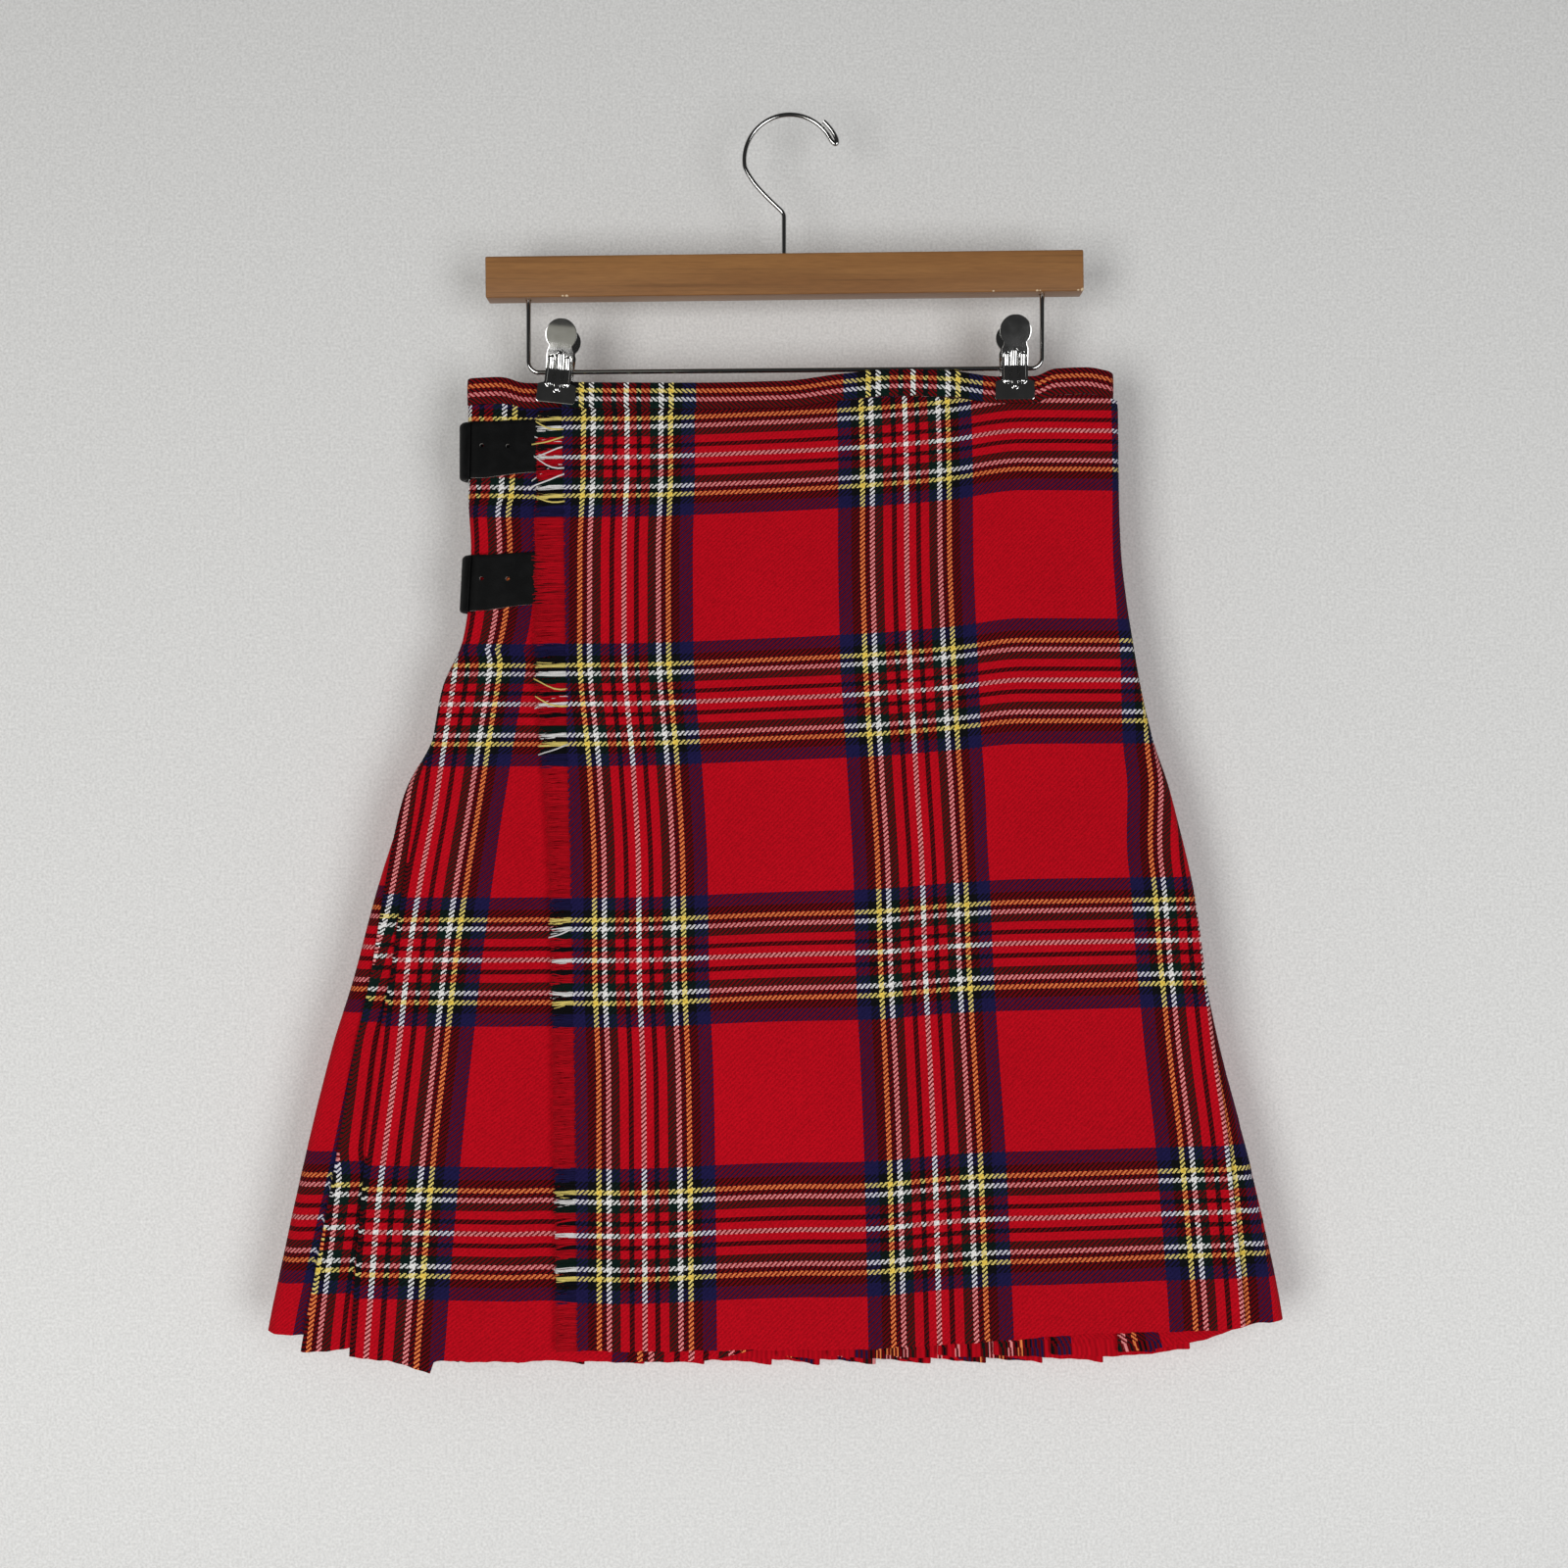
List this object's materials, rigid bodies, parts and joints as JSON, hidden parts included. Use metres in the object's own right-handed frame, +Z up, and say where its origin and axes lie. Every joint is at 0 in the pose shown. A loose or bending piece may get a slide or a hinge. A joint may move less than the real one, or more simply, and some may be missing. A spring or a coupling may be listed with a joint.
{
  "type": "scottish kilt on a clip hanger",
  "caption": "Pleated tartan wrap kilt with a fringed front apron and leather side straps, hung flat by its waistband from a wooden clip hanger.",
  "frame": {"origin": "middle of the hanger hook's wire at the top of its arc, just above the rail that it rests on", "axes": "+Z up, -Y toward the front of the kilt, +X toward the wearer's left"},
  "size_m": [0.6183, 0.0614, 0.7749],
  "materials": {
    "tartan": "twill-woven worsted in a traditional red tartan",
    "fringe": "loose ends of the same yarn, coloured by the tartan's bands",
    "leather": "matte black with cut grey edges",
    "chrome": "polished plated steel",
    "wood": "satin mid-brown, fine straight grain"
  },
  "bodies": {
    "root": {"outer_apron": "tartan", "under_apron": "tartan", "pleats_right": "tartan", "pleats_back": "tartan", "pleats_left": "tartan", "waistband": "tartan", "apron_fringe": "fringe", "strap_upper": "leather", "strap_lower": "leather", "keeper_upper": "leather", "keeper_lower": "leather", "chape_upper": "leather", "chape_lower": "leather", "buckle_upper": "chrome", "buckle_lower": "chrome", "prong_upper": "chrome", "prong_lower": "chrome", "hanger_bar": "wood", "hanger_hook": "chrome", "clip_rod": "chrome", "clip_left_front": "chrome", "clip_left_back": "chrome", "clip_left_spring": "chrome", "clip_right_front": "chrome", "clip_right_back": "chrome", "clip_right_spring": "chrome"}
  },
  "joints": []
}
